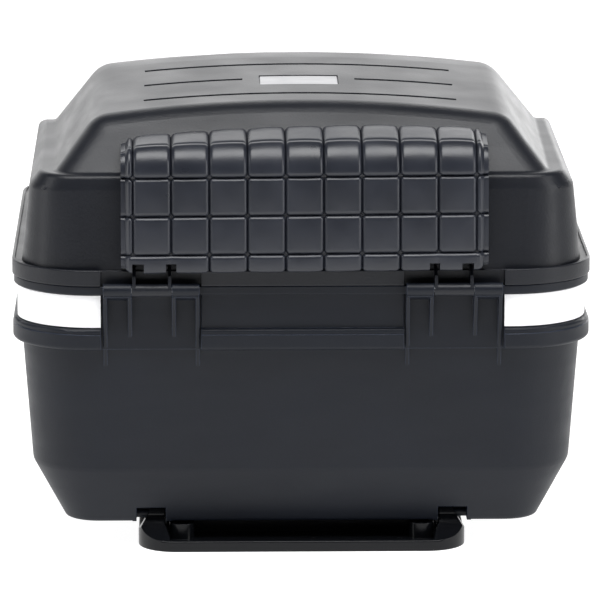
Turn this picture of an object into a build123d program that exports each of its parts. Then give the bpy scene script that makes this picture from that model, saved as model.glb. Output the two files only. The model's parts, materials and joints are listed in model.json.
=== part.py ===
from build123d import *
from math import cos, radians, sin, tan
import os

# Motorcycle top case on its mounting plate. Millimetres, +Z up, +X to the rider's right hand side when
# seen from the rider's seat, -Y towards the rider (hinges and backrest), +Y towards the rear (latch).
# Origin: centre of the bounding box at the mounting plate's underside.

# ---- driving dimensions ----
RIM_HALF_WIDTH = 207.7
RIM_FRONT = -202.0
RIM_REAR = 194.0
RIM_CORNER = 60.0
WALL = 3.0
FIT = 0.05
GAP = 0.3

CASE_BOTTOM_Z = 18.5
FLOOR_Z = 22.0
KNEE_Z = 60.0
BELT_BOTTOM_Z = 150.5
BELT_TOP_Z = 166.0
BAND_TOP_Z = 191.0
SPLIT_Z = 196.8
LID_BOTTOM_Z = 197.3
FLANGE_Z = 207.3
BEAD_Z = 208.8
LEDGE_Z = 274.5
LID_TOP_Z = 324.0

# levels of the base: height, half width, front, rear, corner radius
BASE_LEVELS = (
    (CASE_BOTTOM_Z, 170.0, RIM_FRONT + 35.0, RIM_REAR - 40.0, 24.0),
    (KNEE_Z, 193.8, RIM_FRONT + 17.0, RIM_REAR - 17.0, 50.0),
    (BELT_BOTTOM_Z + 7.5, 201.2, RIM_FRONT + 10.2, RIM_REAR - 10.2, 55.0),
    (SPLIT_Z, 202.2, RIM_FRONT + 7.5, RIM_REAR - 7.5, 57.0),
)
BELT_SET_BACK = 0.3
BELT_STEP = 0.8
BELT_STEP_Z = BELT_TOP_Z - 4.0
RIM_SET_BACK = 1.2
BAND_SET_BACK = 5.2

# levels of the lid's lower wall
SHOULDER_Z = 264.5
LID_LEVELS = (
    (LID_BOTTOM_Z, 201.5, RIM_FRONT + 8.2, RIM_REAR - 8.2, 46.0),
    (SHOULDER_Z, 194.4, RIM_FRONT + 15.1, RIM_REAR - 15.1, 34.0),
    (SHOULDER_Z + 30.0, 172.8, RIM_FRONT + 21.4, RIM_REAR - 21.4, 20.0),
)
SHOULDER_EDGE = 10.0
LEDGE_HALF_WIDTH = 180.0
LEDGE_FRONT = RIM_FRONT + 22.6
LEDGE_REAR = RIM_REAR - 21.0
CROWN_HALF_WIDTH = 147.0
CROWN_EDGE_Z = 315.0
CROWN_RISE = 1.4
DOME_SINK = 6.0
DOME_EDGE = 22.0
FRONT_SLOPE = 47.0
REAR_SLOPE = 56.0
BEND_Y = 48.0
BEND_RADIUS = 225.0
FALL_ANGLE = 14.0

HINGE_Y = RIM_FRONT - 7.0
HINGE_Z = 196.0
BARREL_R = 4.6
PIN_R = 2.0
HINGE_OUTER_X = 141.5
HINGE_INNER_X = 73.4
LID_KNUCKLE_X = (93.0, 121.2)

PIVOT_Y = RIM_FRONT + 46.0
PIVOT_Z = 22.0
HOOK_BAR_R = 3.0

LATCH_Y = RIM_REAR + 5.5
LATCH_Z = 146.0
LATCH_REST_ANGLE = 7.0
LOCK_Z = 180.0

SIDES = (("left", -1), ("right", 1))


def tub(levels, inset=0.0):
    """Rounded rectangles at several heights, joined by straight walls."""
    with BuildPart() as body:
        for z, half_width, front, rear, corner in levels:
            with BuildSketch(Plane.XY.offset(z)):
                with Locations((0, (front + rear) / 2)):
                    RectangleRounded(2 * (half_width - inset), rear - front - 2 * inset, corner - inset)
        loft(ruled=True)
    return body.part


def rim_slab(z_low, z_high, set_back=0.0):
    """A slab with the rim's outline, drawn in by set_back all round."""
    with BuildPart() as body:
        with BuildSketch(Plane.XY.offset(z_low)):
            with Locations((0, (RIM_FRONT + RIM_REAR) / 2)):
                RectangleRounded(
                    2 * (RIM_HALF_WIDTH - set_back),
                    RIM_REAR - RIM_FRONT - 2 * set_back,
                    RIM_CORNER - set_back,
                )
        extrude(amount=z_high - z_low)
    return body.part


def block(x_range, y_range, z_range):
    """An axis-aligned box between two corners."""
    with BuildPart() as body:
        with BuildSketch(Plane.XY.offset(z_range[0])):
            with Locations(((x_range[0] + x_range[1]) / 2, (y_range[0] + y_range[1]) / 2)):
                Rectangle(x_range[1] - x_range[0], y_range[1] - y_range[0])
        extrude(amount=z_range[1] - z_range[0])
    return body.part


def side_plate(points, x_low, x_high):
    """A plate cut to an outline of (y, z) points, standing between two x positions."""
    with BuildPart() as body:
        with BuildSketch(Plane.YZ.offset(x_low)):
            with BuildLine():
                Polyline(*points, close=True)
            make_face()
        extrude(amount=x_high - x_low)
    return body.part


def rod(radius, x_low, x_high, y, z):
    """A round rod along X."""
    with BuildPart() as body:
        with BuildSketch(Plane.YZ.offset(x_low)):
            with Locations((y, z)):
                Circle(radius)
        extrude(amount=x_high - x_low)
    return body.part


def post(radius, x, y, z_low, z_high):
    """A round post along Z."""
    with BuildPart() as body:
        with BuildSketch(Plane.XY.offset(z_low)):
            with Locations((x, y)):
                Circle(radius)
        extrude(amount=z_high - z_low)
    return body.part


def crown_drop(y):
    """How far the lid's top lies below its height at the bend, at a place in front of the bend."""
    return (BEND_Y - y) * tan(radians(CROWN_RISE))


def along_ridge(section, rise_angle=0.0):
    """A lid cross-section carried along the case, rising a little or level, then falling to the rear."""
    start = RIM_FRONT - 20.0
    drop = (BEND_Y - start) * tan(radians(rise_angle))
    with BuildPart() as body:
        with BuildLine(Plane.YZ) as ridge:
            run = Line((start, LEDGE_Z - drop), (BEND_Y, LEDGE_Z))
            bend = JernArc(run @ 1, run % 1, BEND_RADIUS, -FALL_ANGLE - rise_angle)
            Line(bend @ 1, bend @ 1 + 140.0 * (bend % 1))
        with BuildSketch(Plane.XZ.offset(-start)):
            add(section.moved(Location((0, -drop, 0))))
        sweep(path=ridge.wire())
    return body.part


def lid_form(inset):
    """The lid's outside for inset 0, or the room inside it for an inset of its wall."""
    with BuildSketch() as wall_section:
        with Locations((0, LEDGE_Z - inset - 60.0)):
            Rectangle(2 * RIM_HALF_WIDTH, 120.0)
    with BuildPart() as wall_part:
        add(tub(LID_LEVELS, inset))
        shoulder_line = [
            edge
            for edge in wall_part.edges()
            if abs(edge.center().Z - SHOULDER_Z) < 0.1 and edge.length > 5.0
        ]
        fillet(shoulder_line, SHOULDER_EDGE - inset)
        add(along_ridge(wall_section.sketch), mode=Mode.INTERSECT)
    side_run = (LEDGE_HALF_WIDTH - CROWN_HALF_WIDTH) / (CROWN_EDGE_Z - LEDGE_Z)
    draw_in = inset * (1 + side_run**2) ** 0.5
    foot_z = LEDGE_Z - DOME_SINK
    edge_z = CROWN_EDGE_Z - inset
    foot_x = LEDGE_HALF_WIDTH + side_run * DOME_SINK - draw_in
    edge_x = CROWN_HALF_WIDTH + side_run * inset - draw_in
    with BuildSketch() as dome_section:
        with BuildLine():
            Polyline((-edge_x, edge_z), (-foot_x, foot_z), (foot_x, foot_z), (edge_x, edge_z))
            ThreePointArc((edge_x, edge_z), (0, LID_TOP_Z - inset), (-edge_x, edge_z))
        make_face()
        fillet([corner for corner in dome_section.vertices() if corner.Y > LEDGE_Z], DOME_EDGE - inset)
    lean_front = 1 / tan(radians(FRONT_SLOPE))
    lean_rear = 1 / tan(radians(REAR_SLOPE))
    rear_z = LEDGE_Z - (LEDGE_REAR - BEND_Y) * tan(radians(FALL_ANGLE))
    top = LID_TOP_Z + 30.0
    front = LEDGE_FRONT + inset
    rear = LEDGE_REAR - inset
    with BuildPart() as dome_part:
        add(along_ridge(dome_section.sketch, CROWN_RISE))
        add(
            side_plate(
                (
                    (front, LEDGE_Z - 60.0),
                    (front, LEDGE_Z - inset),
                    (front + (top - LEDGE_Z) * lean_front, top),
                    (rear - (top - rear_z) * lean_rear, top),
                    (rear, rear_z - inset),
                    (rear, LEDGE_Z - 60.0),
                ),
                -RIM_HALF_WIDTH,
                RIM_HALF_WIDTH,
            ),
            mode=Mode.INTERSECT,
        )
        fillet(sharp_edges(dome_part.part, 10.0), DOME_EDGE - inset)
    return wall_part.part, dome_part.part


def ledge_height(y):
    """Height of the lid's ledge at a place along the case."""
    return LEDGE_Z - max(0.0, y - BEND_Y) * tan(radians(FALL_ANGLE))


def sharp_edges(shape, above_ledge):
    """Edges of the lid where two faces meet at an angle, at least so far above its ledge."""
    chosen = []
    for edge in shape.edges():
        faces = [face for face in shape.faces() if edge in face.edges()]
        middle = edge @ 0.5
        if middle.Z < ledge_height(middle.Y) + above_ledge or len(faces) != 2:
            continue
        if faces[0].normal_at(middle).get_angle(faces[1].normal_at(middle)) > 10.0:
            chosen.append(edge)
    return chosen


def crown_band(x_range, y_range, depths):
    """A band that follows the crowned top, between two depths below its surface."""
    rise = LID_TOP_Z - CROWN_EDGE_Z
    radius = (CROWN_HALF_WIDTH**2 + rise**2) / (2 * rise)
    middle_x = (x_range[0] + x_range[1]) / 2
    middle_y = (y_range[0] + y_range[1]) / 2
    top_z = LID_TOP_Z - crown_drop(middle_y)
    corners = []
    for depth in depths:
        centre_z = top_z - radius
        places = (x_range[0], middle_x, x_range[1])
        corners.append([(x, centre_z + ((radius - depth) ** 2 - x**2) ** 0.5) for x in places])
    with BuildPart() as body:
        with BuildSketch(Plane.XZ.offset(-y_range[1])):
            with BuildLine():
                upper = ThreePointArc(*corners[0])
                lower = ThreePointArc(*corners[1])
                Line(upper @ 0, lower @ 0)
                Line(upper @ 1, lower @ 1)
            make_face()
        extrude(amount=y_range[1] - y_range[0])
    return body.part.rotate(Axis((0, middle_y, top_z), (1, 0, 0)), CROWN_RISE)


# ---- base shell ----
RIM_TOP_EDGE = 0.8
BELT_EDGE = 2.0
BELT_LOWER_EDGE = 3.0
KNEE_EDGE = 10.0
BOTTOM_EDGE = 3.5
NOTCH_X = (97.9, 119.1)
NOTCH_BACK = PIVOT_Y + 12.0
NOTCH_TOP_Z = 29.6
POCKET_FLOOR_Y = RIM_FRONT + 7.2
RIB = 2.5
LUG_X = (30.3, 33.7)
SEAL_SET_BACK = 3.6
SEAL_WIDTH = 3.0
SEAL_DEPTH = 2.2
CATCH_Y = (104.0, 120.0)
CATCH_X = (13.0, 16.0)
SLOT_CLEARANCE = 4.5
RELEASE_Z = 95.0
RELEASE_TRAVEL = 10.0
COVER_SCREWS = ((-38.0, 112.0), (38.0, 112.0))
SCREW_R = 1.9

base_outside = tub(BASE_LEVELS)
with BuildPart() as base_tub:
    add(base_outside)
    fillet(base_tub.edges().group_by(Axis.Z)[0], BOTTOM_EDGE)
    knee = [edge for edge in base_tub.edges() if abs(edge.center().Z - KNEE_Z) < 0.1 and edge.length > 5.0]
    fillet(knee, KNEE_EDGE)

with BuildPart() as belt:
    add(rim_slab(BELT_BOTTOM_Z, BELT_STEP_Z, BELT_SET_BACK))
    fillet(belt.edges().group_by(Axis.Z)[0], BELT_LOWER_EDGE)
    add(rim_slab(BELT_STEP_Z, BELT_TOP_Z, BELT_SET_BACK + BELT_STEP))
    fillet(belt.edges().group_by(Axis.Z)[-1], BELT_EDGE)

with BuildPart() as base_rim:
    add(rim_slab(BAND_TOP_Z, SPLIT_Z, RIM_SET_BACK))
    fillet(base_rim.edges().group_by(Axis.Z)[0], RIM_TOP_EDGE)

with BuildPart() as base_room:
    add(tub(BASE_LEVELS, WALL))
    split(bisect_by=Plane.XY.offset(FLOOR_Z), keep=Keep.TOP)

with BuildPart() as seal_groove:
    add(rim_slab(SPLIT_Z - SEAL_DEPTH, SPLIT_Z + 1.0, SEAL_SET_BACK))
    add(rim_slab(SPLIT_Z - SEAL_DEPTH, SPLIT_Z + 1.0, SEAL_SET_BACK + SEAL_WIDTH), mode=Mode.SUBTRACT)

with BuildPart() as horn_pockets:
    for side in (-1, 1):
        low, high = sorted((side * (NOTCH_X[0] - WALL), side * (NOTCH_X[1] + WALL)))
        add(block((low, high), (RIM_FRONT, NOTCH_BACK + WALL), (CASE_BOTTOM_Z, NOTCH_TOP_Z + WALL)))
    add(base_outside, mode=Mode.INTERSECT)

# outlines of the hinge ribs and the latch lugs, as (y, z) points
OUTER_RIB = (
    (RIM_FRONT + 7.0, SPLIT_Z - 1.0),
    (HINGE_Y - 0.5, SPLIT_Z - 3.0),
    (HINGE_Y + 3.5, 186.0),
    (RIM_FRONT + 12.0, 136.0),
    (RIM_FRONT + 17.0, 136.0),
)
INNER_RIB = (
    (RIM_FRONT + 7.0, SPLIT_Z - 1.0),
    (HINGE_Y - 0.5, SPLIT_Z - 3.0),
    (HINGE_Y + 3.5, 186.0),
    (RIM_FRONT + 11.0, 150.0),
    (RIM_FRONT + 16.0, 150.0),
)
KNUCKLE_WEB = (
    (RIM_FRONT + 2.0, SPLIT_Z),
    (HINGE_Y, SPLIT_Z),
    (HINGE_Y, 190.5),
    (RIM_FRONT + 2.0, 187.0),
)
LUG_WEB = (
    (RIM_REAR - 11.0, 156.0),
    (RIM_REAR - 11.0, 132.0),
    (LATCH_Y + 2.0, 141.5),
    (LATCH_Y + 2.0, 150.5),
)

with BuildPart() as base_shell:
    add(base_tub.part)
    add(belt.part)
    add(rim_slab(BELT_TOP_Z, BAND_TOP_Z, BAND_SET_BACK))
    add(base_rim.part)
    for side in (-1, 1):
        low, high = sorted((side * (HINGE_INNER_X - 1.4), side * (HINGE_OUTER_X + 1.9)))
        pocket = block((low, high), (RIM_FRONT - 5.0, POCKET_FLOOR_Y), (BELT_BOTTOM_Z - 5.0, BAND_TOP_Z))
        add(pocket, mode=Mode.SUBTRACT)
        for knuckle in ((HINGE_INNER_X, LID_KNUCKLE_X[0] - GAP), (LID_KNUCKLE_X[1] + GAP, HINGE_OUTER_X)):
            low, high = sorted((side * knuckle[0], side * knuckle[1]))
            add(rod(BARREL_R, low, high, HINGE_Y, HINGE_Z))
            add(side_plate(KNUCKLE_WEB, low, high))
        for x in (HINGE_INNER_X, HINGE_OUTER_X - RIB):
            low, high = sorted((side * x, side * (x + RIB)))
            add(side_plate(OUTER_RIB, low, high))
        for x in (LID_KNUCKLE_X[0] - GAP - RIB, LID_KNUCKLE_X[1] + GAP):
            low, high = sorted((side * x, side * (x + RIB)))
            add(side_plate(INNER_RIB, low, high))
        low, high = sorted((side * LUG_X[0], side * LUG_X[1]))
        add(rod(5.0, low, high, LATCH_Y, LATCH_Z))
        add(side_plate(LUG_WEB, low, high))
    add(base_room.part, mode=Mode.SUBTRACT)
    add(horn_pockets.part)
    for side in (-1, 1):
        low, high = sorted((side * NOTCH_X[0], side * NOTCH_X[1]))
        add(block((low, high), (RIM_FRONT, NOTCH_BACK), (0.0, NOTCH_TOP_Z)), mode=Mode.SUBTRACT)
        add(rod(HOOK_BAR_R, low - 1.0, high + 1.0, PIVOT_Y, PIVOT_Z))
        low, high = sorted((side * (HINGE_INNER_X - 5.0), side * (HINGE_OUTER_X + 5.0)))
        add(rod(PIN_R + FIT, low, high, HINGE_Y, HINGE_Z), mode=Mode.SUBTRACT)
    add(rod(PIN_R + FIT, -LUG_X[1] - 1.0, LUG_X[1] + 1.0, LATCH_Y, LATCH_Z), mode=Mode.SUBTRACT)
    add(seal_groove.part, mode=Mode.SUBTRACT)
    # recess for the lock's cam, and the slot above it that the turned cam enters
    add(block((-19.0, 19.0), (RIM_REAR - 8.4, RIM_REAR), (BELT_TOP_Z, BAND_TOP_Z)), mode=Mode.SUBTRACT)
    add(block((-7.0, 7.0), (RIM_REAR - 7.0, RIM_REAR - 3.6), (BAND_TOP_Z - 1.0, 193.6)), mode=Mode.SUBTRACT)
    # slot for the plate's catch, window for the release stem, holes for the cover's screws
    add(
        block(
            (CATCH_X[0] - 2.5, CATCH_X[1] + 2.5),
            (CATCH_Y[0] - SLOT_CLEARANCE, CATCH_Y[1] + SLOT_CLEARANCE),
            (CASE_BOTTOM_Z - 1.0, FLOOR_Z + 1.0),
        ),
        mode=Mode.SUBTRACT,
    )
    add(
        block((-13.0, 13.0), (RIM_REAR - 25.0, RIM_REAR), (RELEASE_Z - 4.5, RELEASE_Z + 4.5)),
        mode=Mode.SUBTRACT,
    )
    for x, y in COVER_SCREWS:
        add(post(SCREW_R + FIT, x, y, CASE_BOTTOM_Z + 0.5, FLOOR_Z + 1.0), mode=Mode.SUBTRACT)

with BuildPart() as lid_seal:
    add(rim_slab(SPLIT_Z - SEAL_DEPTH, SPLIT_Z + 0.25, SEAL_SET_BACK + FIT))
    add(
        rim_slab(SPLIT_Z - SEAL_DEPTH, SPLIT_Z + 0.25, SEAL_SET_BACK + SEAL_WIDTH - FIT),
        mode=Mode.SUBTRACT,
    )

with BuildPart() as floor_mat:
    with BuildSketch(Plane.XY.offset(FLOOR_Z)):
        with Locations((0, -24.0)):
            RectangleRounded(300.0, 228.0, 20.0)
    extrude(amount=2.0)

# ---- strips and reflectors in the band ----
STRIP_THICKNESS = 1.5
REFLECTOR_THICKNESS = 3.4
STRIP_Z = (BELT_TOP_Z + 1.0, BAND_TOP_Z - 1.0)
STRIP_END_Y = RIM_REAR - 60.0
REFLECTOR_INNER_X = 50.0


def band_piece(side, thickness, x_inner, y_range):
    """The part of a thin ring in the band on one side of the case."""
    set_back = BAND_SET_BACK - FIT
    low, high = sorted((side * x_inner, side * RIM_HALF_WIDTH))
    with BuildPart() as body:
        add(rim_slab(STRIP_Z[0], STRIP_Z[1], set_back - thickness))
        add(rim_slab(STRIP_Z[0], STRIP_Z[1], set_back), mode=Mode.SUBTRACT)
        add(block((low, high), y_range, STRIP_Z), mode=Mode.INTERSECT)
    return body.part


# ---- latch, drawn closed and then turned to its rest angle ----
LATCH_OUTER_Y = LATCH_Y + 8.5
LATCH_INNER_Y = LATCH_Y + 5.0
LATCH_HALF_WIDTH = 37.0
CLAW_HALF_WIDTH = 28.0
CLAW_Z = (209.3, 212.3)
BARREL_HOUSING_R = 9.0
PLUG_R = 6.0
CAM_Y = (LATCH_Y - 11.5, LATCH_Y - 9.7)
latch_axis = Axis((0, LATCH_Y, LATCH_Z), (-1, 0, 0))


def post_y(radius, x, z, y_low, y_high):
    """A round post along Y."""
    with BuildPart() as body:
        with BuildSketch(Plane.XZ.offset(-y_high)):
            with Locations((x, z)):
                Circle(radius)
        extrude(amount=y_high - y_low)
    return body.part


with BuildPart() as latch_knuckle:
    with BuildSketch(Plane.YZ.offset(GAP - LUG_X[0])):
        with Locations((LATCH_Y, LATCH_Z)):
            Circle(5.0)
        with Locations((LATCH_Y + 3.0, LATCH_Z)):
            Rectangle(6.0, 8.4)
        with Locations((LATCH_Y, LATCH_Z)):
            Circle(PIN_R + FIT, mode=Mode.SUBTRACT)
    extrude(amount=2 * (LUG_X[0] - GAP))

with BuildPart() as closed_lever:
    add(
        block(
            (-LATCH_HALF_WIDTH, LATCH_HALF_WIDTH), (LATCH_Y - 1.5, LATCH_OUTER_Y), (139.0, CLAW_Z[1])
        )
    )
    fillet(closed_lever.edges().filter_by(Axis.Y), 6.0)
    fillet(closed_lever.faces().sort_by(Axis.Y)[-1].edges(), 2.2)
    inner_half = LATCH_HALF_WIDTH - 2.8
    add(
        block((-inner_half, inner_half), (LATCH_Y - 2.0, LATCH_INNER_Y), (130.0, CLAW_Z[0])),
        mode=Mode.SUBTRACT,
    )
    add(
        block((-LATCH_HALF_WIDTH, LATCH_HALF_WIDTH), (LATCH_Y - 2.0, LATCH_INNER_Y), (204.0, 215.0)),
        mode=Mode.SUBTRACT,
    )
    add(block((-CLAW_HALF_WIDTH, CLAW_HALF_WIDTH), (RIM_REAR - 5.5, LATCH_INNER_Y), CLAW_Z))
    add(latch_knuckle.part)
    add(post_y(BARREL_HOUSING_R + FIT, 0, LOCK_Z, LATCH_Y, LATCH_OUTER_Y + 1.0), mode=Mode.SUBTRACT)

with BuildPart() as closed_barrel:
    add(post_y(BARREL_HOUSING_R, 0, LOCK_Z, LATCH_Y - 4.0, LATCH_OUTER_Y + 0.1))
    add(post_y(12.0, 0, LOCK_Z, LATCH_OUTER_Y + FIT, LATCH_OUTER_Y + 2.2))
    fillet(closed_barrel.edges().sort_by(Axis.Y)[-1], 0.9)
    add(post_y(PLUG_R + FIT, 0, LOCK_Z, LATCH_Y - 5.0, LATCH_OUTER_Y + 3.0), mode=Mode.SUBTRACT)

with BuildPart() as closed_plug:
    add(post_y(PLUG_R, 0, LOCK_Z, LATCH_Y - 4.4, LATCH_OUTER_Y + 1.6))
    fillet(closed_plug.edges().sort_by(Axis.Y)[-1], 0.6)
    # keyway
    add(
        block((-0.8, 0.8), (LATCH_OUTER_Y - 8.0, LATCH_OUTER_Y + 2.0), (LOCK_Z - 3.8, LOCK_Z + 3.8)),
        mode=Mode.SUBTRACT,
    )
    add(block((-2.2, 2.2), (CAM_Y[0], LATCH_Y - 4.0), (LOCK_Z - 2.2, LOCK_Z + 2.2)))
    add(post_y(1.05, 0, LOCK_Z, CAM_Y[0] - 1.0, CAM_Y[0] + 4.0), mode=Mode.SUBTRACT)

with BuildPart() as closed_cam:
    with BuildSketch(Plane.XZ.offset(-CAM_Y[1])):
        with Locations((0, LOCK_Z)):
            Circle(5.0)
        with Locations((-7.5, LOCK_Z)):
            Rectangle(15.0, 8.0)
        with Locations((0, LOCK_Z)):
            Rectangle(4.5, 4.5, mode=Mode.SUBTRACT)
    extrude(amount=CAM_Y[1] - CAM_Y[0])

with BuildPart() as closed_cam_screw:
    add(post_y(3.4, 0, LOCK_Z, CAM_Y[0] - 1.8, CAM_Y[0] - 0.05))
    add(post_y(1.0, 0, LOCK_Z, CAM_Y[0] - 1.0, CAM_Y[0] + 3.8))

with BuildPart() as latch_lever:
    add(closed_lever.part.rotate(latch_axis, LATCH_REST_ANGLE))
with BuildPart() as lock_barrel:
    add(closed_barrel.part.rotate(latch_axis, LATCH_REST_ANGLE))
with BuildPart() as lock_plug:
    add(closed_plug.part.rotate(latch_axis, LATCH_REST_ANGLE))
with BuildPart() as lock_cam:
    add(closed_cam.part.rotate(latch_axis, LATCH_REST_ANGLE))
with BuildPart() as cam_screw:
    add(closed_cam_screw.part.rotate(latch_axis, LATCH_REST_ANGLE))
with BuildPart() as latch_pin:
    add(rod(PIN_R, -LUG_X[1], LUG_X[1], LATCH_Y, LATCH_Z))

# ---- release slide ----
STEM_X = (-12.0, 2.0)
BOLT_WALL_Y = (RIM_REAR - 25.5, RIM_REAR - 23.0)
FOOT_Z = (32.8, 35.2)

with BuildPart() as release_bezel:
    add(block((-33.0, 33.0), (RIM_REAR - 22.0, RIM_REAR - 10.0), (RELEASE_Z - 16.0, RELEASE_Z + 16.0)))
    fillet(release_bezel.edges().filter_by(Axis.Y), 6.0)
    fillet(release_bezel.faces().sort_by(Axis.Y)[-1].edges(), 1.5)
    add(tub(BASE_LEVELS, -FIT), mode=Mode.SUBTRACT)
    add(
        block((-21.0, 21.0), (RIM_REAR - 25.0, RIM_REAR), (RELEASE_Z - 9.0, RELEASE_Z + 9.0)),
        mode=Mode.SUBTRACT,
    )

with BuildPart() as release_knob:
    add(block((-18.0, 8.0), (RIM_REAR - 12.5, RIM_REAR - 3.0), (RELEASE_Z - 8.5, RELEASE_Z + 8.5)))
    fillet(release_knob.edges().filter_by(Axis.Y), 3.0)
    fillet(release_knob.faces().sort_by(Axis.Y)[-1].edges(), 1.2)
    with Locations([(x, RIM_REAR - 3.0, RELEASE_Z) for x in (-13.0, -9.0, -5.0, -1.0, 3.0)]):
        Box(1.6, 2.4, 11.0, mode=Mode.SUBTRACT)
    add(block(STEM_X, (BOLT_WALL_Y[1] + FIT, RIM_REAR - 12.0), (RELEASE_Z - 4.0, RELEASE_Z + 4.0)))
    for x in (-8.5, -1.5):
        add(post_y(1.25, x, RELEASE_Z, BOLT_WALL_Y[0], BOLT_WALL_Y[1] + 6.0), mode=Mode.SUBTRACT)

with BuildPart() as release_bolt:
    with BuildSketch(Plane.YZ.offset(STEM_X[0])):
        with BuildLine():
            Polyline(
                (BOLT_WALL_Y[1], RELEASE_Z + 7.0),
                (BOLT_WALL_Y[1], KNEE_Z + 1.5),
                (150.0, FOOT_Z[0]),
                (107.5, FOOT_Z[0]),
                (107.5, FOOT_Z[1]),
                (148.6, FOOT_Z[1]),
                (BOLT_WALL_Y[0], KNEE_Z + 2.2),
                (BOLT_WALL_Y[0], RELEASE_Z + 7.0),
                close=True,
            )
        make_face()
    extrude(amount=STEM_X[1] + 0.5 - STEM_X[0])
    add(block((STEM_X[0], 11.0), (109.0, 115.0), FOOT_Z))
    for x in (-8.5, -1.5):
        add(post_y(1.35, x, RELEASE_Z, BOLT_WALL_Y[0] - 1.0, BOLT_WALL_Y[1] + 1.0), mode=Mode.SUBTRACT)

with BuildPart() as knob_screws:
    for x in (-8.5, -1.5):
        add(post_y(2.6, x, RELEASE_Z, BOLT_WALL_Y[0] - 2.0, BOLT_WALL_Y[0] - 0.05))
        add(post_y(1.2, x, RELEASE_Z, BOLT_WALL_Y[0] - 1.0, BOLT_WALL_Y[1] + 5.6))

# the cover's outside and the room under it, as (y, z) points
HOOD_OUTSIDE = (
    (98.0, FLOOR_Z + FIT),
    (98.0, 50.0),
    (146.0, 60.0),
    (156.0, 112.0),
    (177.0, 112.0),
    (172.9, 60.5),
    (152.0, 24.0),
    (150.0, FLOOR_Z + FIT),
)
HOOD_ROOM = (
    (100.0, 20.0),
    (100.0, 48.2),
    (147.9, 58.2),
    (157.8, 110.0),
    (190.0, 110.0),
    (190.0, 20.0),
)
with BuildPart() as mechanism_cover:
    add(side_plate(HOOD_OUTSIDE, -31.0, 31.0))
    add(side_plate(HOOD_ROOM, -29.0, 29.0), mode=Mode.SUBTRACT)
    for low, high in ((-45.0, -31.0), (31.0, 45.0)):
        add(block((low, high), (103.0, 121.0), (FLOOR_Z + FIT, FLOOR_Z + 2.5)))
    for x, y in COVER_SCREWS:
        add(post(SCREW_R + FIT, x, y, FLOOR_Z - 1.0, FLOOR_Z + 4.0), mode=Mode.SUBTRACT)

with BuildPart() as cover_screws:
    for x, y in COVER_SCREWS:
        add(post(4.0, x, y, FLOOR_Z + 2.5 + FIT, FLOOR_Z + 4.8))
        add(post(SCREW_R, x, y, CASE_BOTTOM_Z + 0.6, FLOOR_Z + 3.0))

# ---- lid ----
LEDGE_EDGE = 4.0
BEAD_WIDTH = 2.2
LID_RIB_X = (94.4, 119.6)
LID_RIB_WIDTH = 2.2
GROOVE_WIDTH = 6.0
GROOVE_DEPTH = 1.8
GROOVE_ROWS = (RIM_FRONT + 100.0, RIM_FRONT + 160.0, RIM_FRONT + 220.0)
GROOVE_HALF_LENGTH = 113.0
GROOVE_BREAK = 41.0
EMBLEM = (58.0, 37.0)
EMBLEM_GAP = 0.8
EMBLEM_CORNER = 2.0
EMBLEM_Y = RIM_FRONT + 155.0
EMBLEM_DEPTH = 1.4
PAD_SCREWS = [(x, z) for x in (-95.0, 95.0) for z in (226.0, 258.0)]
BOSS_DEPTH = WALL + 2.0
PAD_SCREW_BITE = 8.0
STRIKER_HALF_WIDTH = 38.0
RIVETS_X = (-33.0, 33.0)


def lid_wall_y(z):
    """Where the outside of the lid's front wall stands at a height below its shoulder."""
    low, high = LID_LEVELS[:2]
    return low[2] + (z - low[0]) / (high[0] - low[0]) * (high[2] - low[2])


wall_outside, dome_outside = lid_form(0.0)
wall_room, dome_room = lid_form(WALL)

with BuildPart() as lid_outside:
    add(wall_outside)
    add(dome_outside)
    fillet(sharp_edges(lid_outside.part, -9.0), LEDGE_EDGE)

with BuildPart() as flange:
    add(rim_slab(LID_BOTTOM_Z, BEAD_Z))
    fillet(flange.edges().group_by(Axis.Z)[-1], 1.0)
    fillet(flange.edges().group_by(Axis.Z)[0], RIM_TOP_EDGE)
    add(rim_slab(FLANGE_Z, BEAD_Z + 1.0, BEAD_WIDTH), mode=Mode.SUBTRACT)

LID_RIB = (
    (RIM_FRONT + 7.0, LID_BOTTOM_Z),
    (HINGE_Y, LID_BOTTOM_Z),
    (HINGE_Y - 4.2, 198.0),
    (HINGE_Y - 1.0, 206.0),
    (RIM_FRONT + 2.0, 210.6),
    (RIM_FRONT + 10.0, 210.6),
    (RIM_FRONT + 10.0, LID_BOTTOM_Z),
)

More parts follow.
